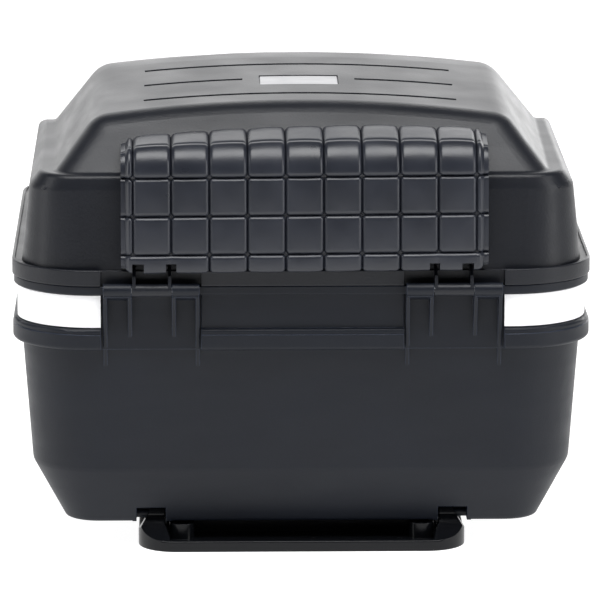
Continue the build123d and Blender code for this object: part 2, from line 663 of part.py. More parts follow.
with BuildPart() as lid_shell:
    add(lid_outside.part)
    add(flange.part)
    for side in (-1, 1):
        low, high = sorted((side * (HINGE_INNER_X - 1.4), side * (HINGE_OUTER_X + 1.9)))
        add(
            block((low, high), (RIM_FRONT - 1.0, RIM_FRONT + 6.0), (LID_BOTTOM_Z - 1.0, BEAD_Z + 1.0)),
            mode=Mode.SUBTRACT,
        )
        low, high = sorted((side * LID_KNUCKLE_X[0], side * LID_KNUCKLE_X[1]))
        add(rod(BARREL_R, low, high, HINGE_Y, HINGE_Z))
        for x in LID_RIB_X:
            middle = side * x
            add(side_plate(LID_RIB, middle - LID_RIB_WIDTH / 2, middle + LID_RIB_WIDTH / 2))
        add(rod(PIN_R + FIT, low - 1.0, high + 1.0, HINGE_Y, HINGE_Z), mode=Mode.SUBTRACT)
    add(wall_room, mode=Mode.SUBTRACT)
    add(dome_room, mode=Mode.SUBTRACT)
    for x, z in PAD_SCREWS:
        wall_y = lid_wall_y(z)
        add(post_y(6.0, x, z, wall_y + 1.0, wall_y + BOSS_DEPTH))
        add(post_y(PIN_R + FIT, x, z, wall_y - 2.0, wall_y + BOSS_DEPTH + 1.0), mode=Mode.SUBTRACT)
    for row, y in enumerate(GROOVE_ROWS):
        spans = ((-GROOVE_HALF_LENGTH, GROOVE_HALF_LENGTH),)
        if row == 1:
            spans = ((-GROOVE_HALF_LENGTH, -GROOVE_BREAK), (GROOVE_BREAK, GROOVE_HALF_LENGTH))
        for span in spans:
            add(
                crown_band(span, (y - GROOVE_WIDTH / 2, y + GROOVE_WIDTH / 2), (-2.0, GROOVE_DEPTH)),
                mode=Mode.SUBTRACT,
            )
    emblem_y = (EMBLEM_Y - EMBLEM[1] / 2, EMBLEM_Y + EMBLEM[1] / 2)
    emblem_x = (-EMBLEM[0] / 2, EMBLEM[0] / 2)
    add(crown_band(emblem_x, emblem_y, (-2.0, EMBLEM_DEPTH)), mode=Mode.SUBTRACT)
    # flat on the flange for the striker, its rivet holes, and room for the latch claw
    add(
        block(
            (-STRIKER_HALF_WIDTH - 1.0, STRIKER_HALF_WIDTH + 1.0),
            (RIM_REAR - 4.0, RIM_REAR + 1.0),
            (FLANGE_Z, BEAD_Z + 1.0),
        ),
        mode=Mode.SUBTRACT,
    )
    for x in RIVETS_X:
        add(post(1.6, x, RIM_REAR - 4.0, FLANGE_Z - 6.0, FLANGE_Z + 1.0), mode=Mode.SUBTRACT)

with BuildPart() as emblem_plate:
    add(
        crown_band(
            (emblem_x[0] + EMBLEM_GAP, emblem_x[1] - EMBLEM_GAP),
            (emblem_y[0] + EMBLEM_GAP, emblem_y[1] - EMBLEM_GAP),
            (0.5, EMBLEM_DEPTH - FIT),
        )
    )
    fillet(emblem_plate.edges().sort_by(SortBy.LENGTH)[:4], EMBLEM_CORNER)

with BuildPart() as lid_striker:
    add(
        block(
            (-STRIKER_HALF_WIDTH, STRIKER_HALF_WIDTH),
            (RIM_REAR - 7.6, RIM_REAR - 0.4),
            (FLANGE_Z, CLAW_Z[0] - GAP),
        )
    )
    fillet(lid_striker.edges().filter_by(Axis.Z), 1.5)
    for x in RIVETS_X:
        add(post(1.6, x, RIM_REAR - 4.0, FLANGE_Z - 1.0, CLAW_Z[0] + 1.0), mode=Mode.SUBTRACT)

with BuildPart() as striker_rivets:
    for x in RIVETS_X:
        add(post(1.5, x, RIM_REAR - 4.0, FLANGE_Z - 5.8, CLAW_Z[0]))
        add(post(2.8, x, RIM_REAR - 4.0, CLAW_Z[0] - GAP + FIT, CLAW_Z[0] + 0.8))

# ---- backrest pad ----
PAD_HALF_WIDTH = 130.0
PAD_BACK_GAP = 0.6
PAD_FRONT = RIM_FRONT - 14.1
with BuildPart() as backrest_pad:
    with BuildSketch(Plane.YZ.offset(-PAD_HALF_WIDTH)):
        with BuildLine():
            run = cos(radians(FRONT_SLOPE))
            rise = sin(radians(FRONT_SLOPE))
            slope_foot = (LEDGE_FRONT - 3.2, LEDGE_Z + 1.2)
            slope_top = (slope_foot[0] + 36.0 * run, slope_foot[1] + 36.0 * rise)
            Line((RIM_FRONT + 9.0, 211.0), (RIM_FRONT + 15.4, LEDGE_Z - 1.0))
            Line((RIM_FRONT + 15.4, LEDGE_Z - 1.0), slope_foot)
            Line(slope_foot, slope_top)
            top_lip = (slope_top[0] - 6.0 * rise, slope_top[1] + 6.0 * run)
            Line(slope_top, top_lip)
            brow = (PAD_FRONT + 27.1, 301.5)
            shoulder = (PAD_FRONT + 6.5, 276.0)
            Line(top_lip, brow)
            ThreePointArc(brow, (PAD_FRONT + 12.6, 294.0), shoulder)
            Line(shoulder, (PAD_FRONT, 217.0))
            Line((PAD_FRONT, 217.0), (PAD_FRONT + 3.0, 211.0))
            Line((PAD_FRONT + 3.0, 211.0), (RIM_FRONT + 9.0, 211.0))
        make_face()
    extrude(amount=2 * PAD_HALF_WIDTH)
    for x, z in PAD_SCREWS:
        wall_y = lid_wall_y(z)
        add(post_y(PIN_R + FIT, x, z, wall_y - PAD_SCREW_BITE - 0.5, wall_y + 1.0), mode=Mode.SUBTRACT)

with BuildPart() as backrest_screws:
    for x, z in PAD_SCREWS:
        wall_y = lid_wall_y(z)
        add(post_y(PIN_R, x, z, wall_y - PAD_SCREW_BITE, wall_y + BOSS_DEPTH + 1.0))
        add(post_y(4.0, x, z, wall_y + BOSS_DEPTH + FIT, wall_y + BOSS_DEPTH + 2.4))

# ---- mounting plate ----
PLATE_HALF_WIDTH = 117.8
PLATE_Y = (RIM_FRONT + 15.0, 132.0)
PLATE_CORNER = 28.0
SLAB_Z = 5.0
LIP_Z = 8.0
DECK_Z = 17.0
FRAME_X = 98.0
FRAME_Y = (-142.0, 126.0)
SLOT_SPACING = (130.0, 100.0)
SLOT_CENTRE_Y = 25.0
SLOT_LENGTH = 30.0
SLOT_R = 3.25
CATCH_TOP_Z = 44.0
CATCH_SCREWS = ((27.0, 106.5), (27.0, 117.5))
BUMPERS = [(x, y) for x in (-80.0, 80.0) for y in (-125.0, 105.0)]


def plate_outline(z_low, z_high, set_back=0.0):
    """A slab with the mounting plate's outline."""
    with BuildPart() as body:
        with BuildSketch(Plane.XY.offset(z_low)):
            with Locations((0, (PLATE_Y[0] + PLATE_Y[1]) / 2)):
                RectangleRounded(
                    2 * (PLATE_HALF_WIDTH - set_back),
                    PLATE_Y[1] - PLATE_Y[0] - 2 * set_back,
                    PLATE_CORNER - set_back,
                )
        extrude(amount=z_high - z_low)
    return body.part


with BuildPart() as horn_profile:
    with BuildSketch(Plane.YZ.offset(-PLATE_HALF_WIDTH)):
        with BuildLine():
            outer_r = 6.8
            inner_r = 3.4
            tip = (cos(radians(45)), sin(radians(45)))
            Line((PLATE_Y[0] + 2.5, 2.0), (PLATE_Y[0] + 2.5, 8.0))
            ThreePointArc((PLATE_Y[0] + 2.5, 8.0), (-173.0, 12.5), (PIVOT_Y - outer_r, PIVOT_Z))
            ThreePointArc(
                (PIVOT_Y - outer_r, PIVOT_Z),
                (PIVOT_Y - outer_r * tip[0], PIVOT_Z + outer_r * tip[1]),
                (PIVOT_Y, PIVOT_Z + outer_r),
            )
            ThreePointArc(
                (PIVOT_Y, PIVOT_Z + outer_r),
                (PIVOT_Y + outer_r * sin(radians(22.5)), PIVOT_Z + outer_r * cos(radians(22.5))),
                (PIVOT_Y + outer_r * tip[0], PIVOT_Z + outer_r * tip[1]),
            )
            Line(
                (PIVOT_Y + outer_r * tip[0], PIVOT_Z + outer_r * tip[1]),
                (PIVOT_Y + inner_r * tip[0], PIVOT_Z + inner_r * tip[1]),
            )
            ThreePointArc(
                (PIVOT_Y + inner_r * tip[0], PIVOT_Z + inner_r * tip[1]),
                (PIVOT_Y - inner_r * sin(radians(22.5)), PIVOT_Z + inner_r * cos(radians(22.5))),
                (PIVOT_Y - inner_r, PIVOT_Z),
            )
            Line((PIVOT_Y - inner_r, PIVOT_Z), (PIVOT_Y - inner_r + 0.5, 2.0))
            Line((PIVOT_Y - inner_r + 0.5, 2.0), (PLATE_Y[0] + 2.5, 2.0))
        make_face()
    extrude(amount=30.0)

with BuildPart() as horn:
    with BuildSketch(Plane.XZ.offset(-PIVOT_Y - 30.0)):
        with BuildLine():
            Polyline(
                (-PLATE_HALF_WIDTH, 2.0),
                (-PLATE_HALF_WIDTH, 12.0),
                (-110.0, 24.0),
                (-109.0, 30.0),
                (-99.4, 30.0),
                (-98.8, 16.0),
                (-95.0, 8.0),
                (-95.0, 2.0),
                close=True,
            )
        make_face()
    extrude(amount=80.0)
    add(horn_profile.part, mode=Mode.INTERSECT)
    add(plate_outline(0.0, 2 * DECK_Z), mode=Mode.INTERSECT)

with BuildPart() as mounting_plate:
    add(plate_outline(0.0, LIP_Z))
    fillet(mounting_plate.edges().group_by(Axis.Z)[-1], 1.2)
    fillet(mounting_plate.edges().group_by(Axis.Z)[0], 1.0)
    add(plate_outline(SLAB_Z, LIP_Z + 1.0, 4.0), mode=Mode.SUBTRACT)
    add(block((-FRAME_X, FRAME_X), FRAME_Y, (SLAB_Z, DECK_Z)))
    columns = ((-FRAME_X + WALL, -36.0), (-33.0, 33.0), (36.0, FRAME_X - WALL))
    rows = ((FRAME_Y[0] + WALL, -78.0), (-75.0, 22.0), (25.0, FRAME_Y[1] - WALL))
    for column in columns:
        for row in rows:
            add(block(column, row, (SLAB_Z, DECK_Z + 1.0)), mode=Mode.SUBTRACT)
    for x, y in BUMPERS:
        add(post(9.0, x, y, SLAB_Z, DECK_Z))
    for side in (-1, 1):
        add(post(9.0, side * 86.5, PIVOT_Y - 4.0, SLAB_Z - 1.0, DECK_Z - 0.6))
        add(post(5.5, side * 86.5, PIVOT_Y - 4.0, DECK_Z - 3.0, DECK_Z), mode=Mode.SUBTRACT)
    add(horn.part)
    add(mirror(horn.part, about=Plane.YZ, mode=Mode.PRIVATE))
    with BuildSketch(Plane.XY):
        with Locations((0, SLOT_CENTRE_Y)):
            with GridLocations(SLOT_SPACING[0], SLOT_SPACING[1], 2, 2):
                SlotOverall(SLOT_LENGTH, 2 * SLOT_R)
    extrude(amount=SLAB_Z, mode=Mode.SUBTRACT)
    for x, y in CATCH_SCREWS:
        add(post(2.1, x, y, 1.0, SLAB_Z + 1.0), mode=Mode.SUBTRACT)

with BuildPart() as catch_plate:
    add(block(CATCH_X, CATCH_Y, (SLAB_Z, CATCH_TOP_Z)))
    fillet(catch_plate.edges().filter_by(Axis.X).group_by(Axis.Z)[-1], 3.0)
    window_y = (CATCH_Y[0] + 3.5, CATCH_Y[1] - 3.5)
    window_z = (FOOT_Z[0] - 2.0, FOOT_Z[1] + 2.0)
    add(block((CATCH_X[0] - 1.0, CATCH_X[1] + 1.0), window_y, window_z), mode=Mode.SUBTRACT)
    add(block((CATCH_X[1], 33.0), (102.0, 122.0), (SLAB_Z, SLAB_Z + 2.0)))
    for x, y in CATCH_SCREWS:
        add(post(2.1, x, y, SLAB_Z - 1.0, SLAB_Z + 3.0), mode=Mode.SUBTRACT)

with BuildPart() as catch_screws:
    for x, y in CATCH_SCREWS:
        add(post(2.0, x, y, 1.2, SLAB_Z + 3.0))
        add(post(3.8, x, y, SLAB_Z + 2.0 + FIT, SLAB_Z + 4.6))

with BuildPart() as plate_pads:
    for x, y in BUMPERS:
        add(post(8.0, x, y, DECK_Z, CASE_BOTTOM_Z - GAP))

pieces = {
    "base_shell": base_shell,
    "lid_seal": lid_seal,
    "floor_mat": floor_mat,
    "mechanism_cover": mechanism_cover,
    "cover_screws": cover_screws,
    "latch_pin": latch_pin,
    "latch_lever": latch_lever,
    "lock_barrel": lock_barrel,
    "lock_plug": lock_plug,
    "lock_cam": lock_cam,
    "cam_screw": cam_screw,
    "release_bezel": release_bezel,
    "release_knob": release_knob,
    "release_bolt": release_bolt,
    "knob_screws": knob_screws,
    "lid_shell": lid_shell,
    "emblem_plate": emblem_plate,
    "lid_striker": lid_striker,
    "striker_rivets": striker_rivets,
    "backrest_pad": backrest_pad,
    "backrest_screws": backrest_screws,
    "mounting_plate": mounting_plate,
    "catch_plate": catch_plate,
    "catch_screws": catch_screws,
    "plate_pads": plate_pads,
}

for name, side in SIDES:
    low, high = sorted((side * HINGE_INNER_X, side * HINGE_OUTER_X))
    with BuildPart() as hinge_pin:
        add(rod(PIN_R, low, high, HINGE_Y, HINGE_Z))
    pieces[f"hinge_pin_{name}"] = hinge_pin
    with BuildPart() as reflective_strip:
        add(band_piece(side, STRIP_THICKNESS, 1.0, (RIM_FRONT, STRIP_END_Y)))
        low, high = sorted((0.0, side * (HINGE_OUTER_X + 2.0)))
        add(block((low, high), (RIM_FRONT, 0.0), STRIP_Z), mode=Mode.SUBTRACT)
    pieces[f"reflective_strip_{name}"] = reflective_strip
    with BuildPart() as rear_reflector:
        add(band_piece(side, REFLECTOR_THICKNESS, REFLECTOR_INNER_X, (STRIP_END_Y + 2.0, RIM_REAR)))
    pieces[f"rear_reflector_{name}"] = rear_reflector

os.makedirs("parts", exist_ok=True)
for name, piece in pieces.items():
    piece.part.label = name
    export_step(piece.part, f"parts/{name}.step")
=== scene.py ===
import json
import math

import bmesh
import bpy
import numpy as np
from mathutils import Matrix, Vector


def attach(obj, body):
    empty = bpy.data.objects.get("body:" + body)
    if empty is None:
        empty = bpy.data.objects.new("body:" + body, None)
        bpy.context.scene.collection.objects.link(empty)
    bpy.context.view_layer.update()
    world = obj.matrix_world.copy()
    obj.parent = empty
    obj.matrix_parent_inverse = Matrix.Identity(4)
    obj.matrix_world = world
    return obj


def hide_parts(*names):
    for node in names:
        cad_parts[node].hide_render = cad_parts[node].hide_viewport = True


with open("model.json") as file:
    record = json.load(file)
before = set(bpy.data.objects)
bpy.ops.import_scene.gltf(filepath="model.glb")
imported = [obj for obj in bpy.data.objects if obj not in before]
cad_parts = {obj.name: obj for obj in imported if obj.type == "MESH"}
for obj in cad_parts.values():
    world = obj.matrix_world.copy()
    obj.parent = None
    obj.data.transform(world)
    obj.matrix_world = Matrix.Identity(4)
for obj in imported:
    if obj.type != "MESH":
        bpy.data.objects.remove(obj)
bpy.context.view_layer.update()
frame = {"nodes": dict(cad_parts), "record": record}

# Motorcycle top case on its mounting plate, dressed around its CAD frame. +Z up, -Y towards the rider
# (hinges and backrest pad), +Y towards the rear (latch). Lengths named *_MM are millimetres.

MM = 0.001


# ---------------------------------------------------------------- materials

EDGE_NONE = 0.995  # how alike the plain and the rounded normals are where no edge shows
EDGE_FULL = 0.75  # and where an edge shows fully
EDGE_PALER_WEAR_AND_HIGHLIGHT = 8.0  # paler edges of moulded plastic, against its own colour: partly wear, partly a painted highlight
FLOOR_GLOW = 0.97
FILM_PAINTED_GLOW = 0.16  # painted glow: the film gives off some light of its own, though it is no lamp
SHELL_COLOUR = (0.0054, 0.0073, 0.0124)
LID_COLOUR = (0.0064, 0.0076, 0.0115)
PAD_COLOUR = (0.0165, 0.0188, 0.0265)
STEEL_BRUSH = (0.1, 1.0, 1.0)  # the brush marks run along the axis that is squeezed


class Graph:
    """A material's node tree, with short calls to add and link nodes."""

    def __init__(self, name):
        self.material = bpy.data.materials.new(name)
        self.material.use_nodes = True
        self.nodes = self.material.node_tree.nodes
        self.links = self.material.node_tree.links
        self.nodes.clear()
        self.shader = self.nodes.new("ShaderNodeBsdfPrincipled")
        output = self.nodes.new("ShaderNodeOutputMaterial")
        self.links.new(self.shader.outputs["BSDF"], output.inputs["Surface"])
        self.place = self.add("ShaderNodeTexCoord").outputs["Object"]

    def set(self, node, name, value):
        """Puts a number or colour on an input, or links another node's output to it."""
        socket = node.inputs[name]
        if isinstance(value, bpy.types.NodeSocket):
            self.links.new(value, socket)
        else:
            socket.default_value = value

    def add(self, kind, inputs=None, **settings):
        node = self.nodes.new(kind)
        for key, value in settings.items():
            setattr(node, key, value)
        for key, value in (inputs or {}).items():
            self.set(node, key, value)
        return node

    def noise(self, size, detail=3.0, roughness=0.55, place=None):
        """Soft noise from 0 to 1 with features about so many metres across."""
        inputs = {
            "Vector": place or self.place,
            "Scale": 1.0 / size,
            "Detail": detail,
            "Roughness": roughness,
        }
        return self.add("ShaderNodeTexNoise", inputs).outputs["Fac"]

    def stretched(self, scale):
        """The place, squeezed along each axis by its own factor."""
        return self.add("ShaderNodeMapping", {"Vector": self.place, "Scale": scale}).outputs["Vector"]

    def spread(self, value, low, high, out_low=0.0, out_high=1.0):
        """A value mapped from one range to another, and kept inside it."""
        inputs = {"Value": value, "From Min": low, "From Max": high, "To Min": out_low, "To Max": out_high}
        return self.add("ShaderNodeMapRange", inputs).outputs["Result"]

    def math(self, operation, first, second):
        node = self.add("ShaderNodeMath", operation=operation)
        self.set(node, 0, first)
        self.set(node, 1, second)
        return node.outputs["Value"]

    def blend(self, share, first, second):
        """A colour between two, by a share from 0 to 1."""
        node = self.add("ShaderNodeMix", data_type="RGBA")
        self.set(node, 0, share)
        for index, colour in ((6, first), (7, second)):
            if not isinstance(colour, bpy.types.NodeSocket):
                colour = (*colour, 1.0)
            self.set(node, index, colour)
        return node.outputs[2]

    def convex_edges(self, radius):
        """1 on convex edges and corners narrower than the radius, 0 on open faces."""
        rounded = self.add("ShaderNodeBevel", {"Radius": radius}, samples=6).outputs["Normal"]
        plain = self.add("ShaderNodeNewGeometry").outputs["Normal"]
        both = {0: rounded, 1: plain}
        alike = self.add("ShaderNodeVectorMath", both, operation="DOT_PRODUCT").outputs["Value"]
        return rounded, self.spread(alike, EDGE_NONE, EDGE_FULL)

    def bump(self, height, distance, strength=1.0, normal=None):
        inputs = {"Height": height, "Distance": distance, "Strength": strength}
        if normal is not None:
            inputs["Normal"] = normal
        return self.add("ShaderNodeBump", inputs).outputs["Normal"]

    def finish(self, **sockets):
        for name, value in sockets.items():
            self.set(self.shader, name.replace("_", " "), value)
        return self.material


def scaled(colour, factor):
    return tuple(min(1.0, part * factor) for part in colour)


def moulded_plastic(name, colour, roughness, grain, depth, edge_wear_and_highlight=0.15, edge=0.0006, ior=1.46):
    """Moulded plastic: fine grain, slow colour change, faint flow marks, and paler edges that are partly
    wear and partly a painted highlight.
    """
    graph = Graph(name)
    grain_noise = graph.noise(grain, detail=2.0)
    pores_at = {"Vector": graph.place, "Scale": 0.8 / grain}
    pores = graph.add("ShaderNodeTexVoronoi", pores_at, feature="SMOOTH_F1")
    clouds = graph.noise(0.09, detail=4.0)
    flow = graph.noise(0.02, detail=2.0, place=graph.stretched((0.35, 0.35, 1.6)))
    rounded, edges = graph.convex_edges(edge)
    body = graph.blend(graph.spread(clouds, 0.3, 0.7), scaled(colour, 0.86), scaled(colour, 1.14))
    specks = graph.spread(grain_noise, 0.35, 0.7, 0.0, 0.22)
    body = graph.blend(specks, body, scaled(colour, 1.9))
    # paler convex edges: partly wear, partly a painted highlight along ridges and rims
    body = graph.blend(graph.math("MULTIPLY", edges, edge_wear_and_highlight), body, scaled(colour, EDGE_PALER_WEAR_AND_HIGHLIGHT))
    height = graph.math("ADD", grain_noise, graph.math("MULTIPLY", pores.outputs["Distance"], 0.7))
    rough = graph.math("ADD", graph.spread(flow, 0.3, 0.7, -0.04, 0.04), roughness)
    return graph.finish(
        Base_Color=body,
        Roughness=graph.math("SUBTRACT", rough, graph.math("MULTIPLY", edges, 0.1)),
        IOR=ior,
        Normal=graph.bump(height, depth, 0.8, rounded),
    )


def gloss_plastic(name, colour, roughness, ior=1.48):
    """Polished plastic: faint ripple from moulding, dust-fine scratches."""
    graph = Graph(name)
    ripple = graph.noise(0.012, detail=1.0)
    scratches = graph.noise(0.0016, detail=4.0, place=graph.stretched((0.12, 1.0, 1.0)))
    rounded, edges = graph.convex_edges(0.0007)
    body = graph.blend(graph.math("MULTIPLY", edges, 0.4), colour, scaled(colour, 4.0))
    height = graph.math("ADD", ripple, graph.math("MULTIPLY", scratches, 0.12))
    return graph.finish(
        Base_Color=body,
        Roughness=graph.spread(scratches, 0.3, 0.75, roughness, roughness + 0.12),
        IOR=ior,
        Normal=graph.bump(height, 0.0002, 0.25, rounded),
    )


def pad_skin(name, colour):
    """Self-skinned polyurethane foam: semi-gloss, soft waves and a slowly changing tone."""
    graph = Graph(name)
    waves = graph.noise(0.022, detail=2.0)
    skin = graph.noise(0.0011, detail=3.0)
    clouds = graph.noise(0.035, detail=3.0)
    body = graph.blend(graph.spread(clouds, 0.3, 0.7), scaled(colour, 0.85), scaled(colour, 1.2))
    height = graph.math("ADD", graph.math("MULTIPLY", waves, 6.0), skin)
    return graph.finish(
        Base_Color=body,
        Roughness=graph.spread(clouds, 0.3, 0.7, 0.27, 0.36),
        IOR=1.5,
        Normal=graph.bump(height, 0.00012, 0.35),
    )


def rubber(name, colour, rib=None):
    """Matt rubber with a fine tooth, and ribs across it if it is a mat."""
    graph = Graph(name)
    tooth = graph.noise(0.0012, detail=4.0)
    dust = graph.noise(0.03, detail=4.0)
    body = graph.blend(graph.spread(dust, 0.45, 0.8, 0.0, 0.5), colour, scaled(colour, 2.4))
    height = tooth
    if rib:
        inputs = {"Vector": graph.place, "Scale": 1.0 / rib}
        ribs = graph.add("ShaderNodeTexWave", inputs, bands_direction="X").outputs["Fac"]
        height = graph.math("ADD", graph.math("MULTIPLY", ribs, 5.0), tooth)
    return graph.finish(
        Base_Color=body,
        Roughness=graph.spread(dust, 0.3, 0.8, 0.62, 0.85),
        IOR=1.45,
        Normal=graph.bump(height, 0.0002, 0.6),
    )


def metal(name, colour, roughness, brush, stained=0.72):
    """Plated metal, brushed along one axis, with faint stains."""
    graph = Graph(name)
    lines = graph.noise(0.0009, detail=5.0, place=graph.stretched(brush))
    stains = graph.noise(0.008, detail=3.0)
    rounded, edges = graph.convex_edges(0.0004)
    body = graph.blend(graph.spread(stains, 0.4, 0.75), colour, scaled(colour, stained))
    body = graph.blend(graph.math("MULTIPLY", edges, 0.5), body, scaled(colour, 1.3))
    return graph.finish(
        Base_Color=body,
        Metallic=1.0,
        Roughness=graph.spread(lines, 0.3, 0.7, roughness, roughness + 0.18),
        Normal=graph.bump(lines, 0.00004, 0.5, rounded),
    )


def reflective_film(name):
    """White reflective film: sealed honeycomb cells and a few grey smudges."""
    graph = Graph(name)
    cells_at = {"Vector": graph.place, "Scale": 260.0}
    cells = graph.add("ShaderNodeTexVoronoi", cells_at, feature="DISTANCE_TO_EDGE")
    seams = graph.spread(cells.outputs["Distance"], 0.0, 0.06)
    smudges = graph.spread(graph.noise(0.011, detail=5.0), 0.62, 0.78, 0.0, 0.35)
    body = graph.blend(seams, (0.84, 0.84, 0.88), (0.93, 0.93, 0.945))
    body = graph.blend(smudges, body, (0.5, 0.5, 0.52))
    return graph.finish(
        Base_Color=body,
        Roughness=0.32,
        IOR=1.5,
        Coat_Weight=0.4,
        Coat_Roughness=0.12,
        # painted glow: the film emits light so that it reads brighter than its lighting makes it
        Emission_Color=(1.0, 1.0, 1.0, 1.0),
        Emission_Strength=FILM_PAINTED_GLOW,
        Normal=graph.bump(seams, 0.00008, 0.3),
    )


def red_lens(name):
    """Red reflector: clear front over rows of small prisms."""
    graph = Graph(name)
    prisms_at = {"Vector": graph.place, "Scale": 420.0}
    prisms = graph.add("ShaderNodeTexVoronoi", prisms_at, distance="CHEBYCHEV")
    glow = graph.spread(prisms.outputs["Distance"], 0.0, 0.6)
    body = graph.blend(glow, (0.62, 0.012, 0.01), (0.2, 0.002, 0.002))
    return graph.finish(
        Base_Color=body,
        Roughness=0.3,
        IOR=1.5,
        Coat_Weight=1.0,
        Coat_Roughness=0.05,
        Normal=graph.bump(prisms.outputs["Distance"], 0.0004, 0.7),
    )


def floor_paper(name):
    """Pale studio paper."""
    graph = Graph(name)
    fibre = graph.noise(0.004, detail=4.0)
    body = graph.blend(fibre, (0.34, 0.34, 0.34), (0.37, 0.37, 0.37))
    return graph.finish(
        Base_Color=body,
        Roughness=0.9,
        Emission_Color=(1.0, 1.0, 1.0, 1.0),
        Emission_Strength=FLOOR_GLOW,
    )


MATERIALS = {
    # the shell's paler edges are mostly a painted highlight on its ribs, hinges and rims
    "shell_black": moulded_plastic(
        "shell_black", SHELL_COLOUR, 0.45, 0.0011, 0.00005, edge_wear_and_highlight=0.7, edge=0.0009, ior=1.355
    ),
    "lid_black": moulded_plastic("lid_black", LID_COLOUR, 0.4, 0.0015, 0.0001, ior=1.41),
    "trim_black": moulded_plastic("trim_black", (0.01, 0.01, 0.011), 0.34, 0.0006, 0.00003),
    "plate_gloss_black": gloss_plastic("plate_gloss_black", (0.005, 0.0055, 0.007), 0.16, ior=1.31),
    "pad_polyurethane": pad_skin("pad_polyurethane", PAD_COLOUR),
    "strip_white": reflective_film("strip_white"),
    "reflector_red": red_lens("reflector_red"),
    "emblem_grey": metal("emblem_grey", (0.39, 0.39, 0.405), 0.3, (0.05, 1.0, 1.0), stained=0.94),
    "seal_rubber": rubber("seal_rubber", (0.008, 0.008, 0.008)),
    "mat_rubber": rubber("mat_rubber", (0.02, 0.02, 0.021), rib=0.008),
    "steel_zinc": metal("steel_zinc", (0.6, 0.6, 0.61), 0.3, STEEL_BRUSH),
    "lock_chrome": metal("lock_chrome", (0.42, 0.42, 0.44), 0.18, (1.0, 1.0, 0.2)),
}


def dress(nodes, record):
    """Gives every CAD node the material of its slot."""
    for part in record["subparts"]:
        node = nodes[part["node"]]
        material = MATERIALS[part["material_slot"]]
        if not node.material_slots:
            node.data.materials.append(material)
        for place in node.material_slots:
            place.material = material


# ---------------------------------------------------------------- mesh helpers

def mesh_object(name, vertices, faces, material, smooth=True):
    mesh = bpy.data.meshes.new(name)
    mesh.from_pydata([tuple(v) for v in vertices], [], [tuple(f) for f in faces])
    mesh.validate()
    mesh.polygons.foreach_set("use_smooth", [smooth] * len(mesh.polygons))
    mesh.materials.append(material)
    thing = bpy.data.objects.new(name, mesh)
    bpy.context.scene.collection.objects.link(thing)
    return thing


def cut_out(thing, boxes):
    """Cuts axis-aligned boxes, each (low corner, high corner) in metres, out of a closed mesh."""
    cutter = bmesh.new()
    for low, high in boxes:
        bmesh.ops.create_cube(cutter, size=1.0)
        new = cutter.verts[-8:]
        for vertex in new:
            for axis in range(3):
                vertex.co[axis] = low[axis] if vertex.co[axis] < 0 else high[axis]
    mesh = bpy.data.meshes.new("cutter")
    cutter.to_mesh(mesh)
    cutter.free()
    tool = bpy.data.objects.new("cutter", mesh)
    bpy.context.scene.collection.objects.link(tool)
    change = thing.modifiers.new("cut", "BOOLEAN")
    change.object = tool
    change.operation = "DIFFERENCE"
    change.solver = "EXACT"
    bpy.context.view_layer.update()
    done = bpy.data.meshes.new_from_object(thing.evaluated_get(bpy.context.evaluated_depsgraph_get()))
    thing.modifiers.clear()
    thing.data = done
    bpy.data.objects.remove(tool)


# ---------------------------------------------------------------- backrest pad

PAD_HALF_WIDTH_MM = 130.0
PAD_PITCH_MM = 27.0
PAD_COLUMNS = 10  # vertical grooves
ROW_HEIGHTS_MM = (222.5, 249.8, 276.9)  # horizontal grooves
PAD_BOTTOM_MM = (-197.0, 209.8)
PAD_TOE_MM = (-213.0, 209.2)
FACE_LOW_MM = (-215.9, 212.2)
BULGE_CENTRE_MM = (-186.6, 276.6)
BULGE_SIZE_MM = (23.0, 25.6)
BULGE_TURN = 70.0
LIP_END_MM = (-160.7, 306.8)
LIP_BACK_MM = (-157.2, 302.1)
BACK_MM = ((-193.1, 210.4), (-186.9, 273.5), (-158.8, 298.6))
LID_SLOPE = math.radians(47.0)
ARCH_DROP_MM = 6.2
ARCH_CENTRE_MM = 30.0
GROOVE_REACH_MM = 3.2
TOP_GROOVE_REACH_MM = 3.6
GROOVE_DEPTH_MM = 3.2
END_ROLL_MM = 4.5
END_ROLL_EXTRA_MM = 0.9  # the roll is a little longer than it is deep
END_ROLL_LEAD_MM = 0.5  # and begins just before the last groove
PAD_TILT = math.radians(0.4)  # it sits a little askew on the lid: higher on the right,
PAD_SHIFT_MM = 1.3  # and to the right
CREASE_MM = (0.6, 2.0)  # depth and width
CELL_CROWN_MM = 0.5
CELL_TILT_MM = 0.22
PLAIN_END_MM = 75.0  # the bottom row has no vertical grooves beyond this
NOTCHES_X_MM = ((89.5, 96.8), (112.5, 120.8))
NOTCH_TOP_MM = 215.8
NOTCH_FRONT = -0.23  # the notches are cut right through the pad, from below it
NOTCH_BACK = -0.18
NOTCH_FOOT = 0.2
OUTLINE_ROUNDS = 3  # times that the outline's corners are cut
BULGE_STEPS = 24
COLUMN_SPACING_MM = 3.0  # between even places of the mesh, across
ROW_SPACING_MM = 2.0  # and along the outline
CLOSEST_MM = 0.15
TOP_ROW_CROWN = 1.4  # the top row is fuller than the others
SHARP_ANGLE = math.radians(50.0)
TILT_SEED = 7
END_THINNEST = 0.55  # share of the thickness that the rolled ends may take
FINE_STEPS_MM = (0.0, 0.3, 0.6, 0.9, 1.2, 1.5, 1.8, 2.1, 2.4, 2.8, 3.2)


def sample_places(low, high, keys, spacing):
    """Places between two ends: even ones, and closer ones round each key place."""
    places = list(np.linspace(low, high, int((high - low) / spacing) + 1))
    for key in keys:
        for step in FINE_STEPS_MM:
            places += [key - step, key + step]
    kept = [low]
    for place in sorted(places):
        if place - kept[-1] > CLOSEST_MM and place < high - CLOSEST_MM:
            kept.append(place)
    return np.array(kept + [high])


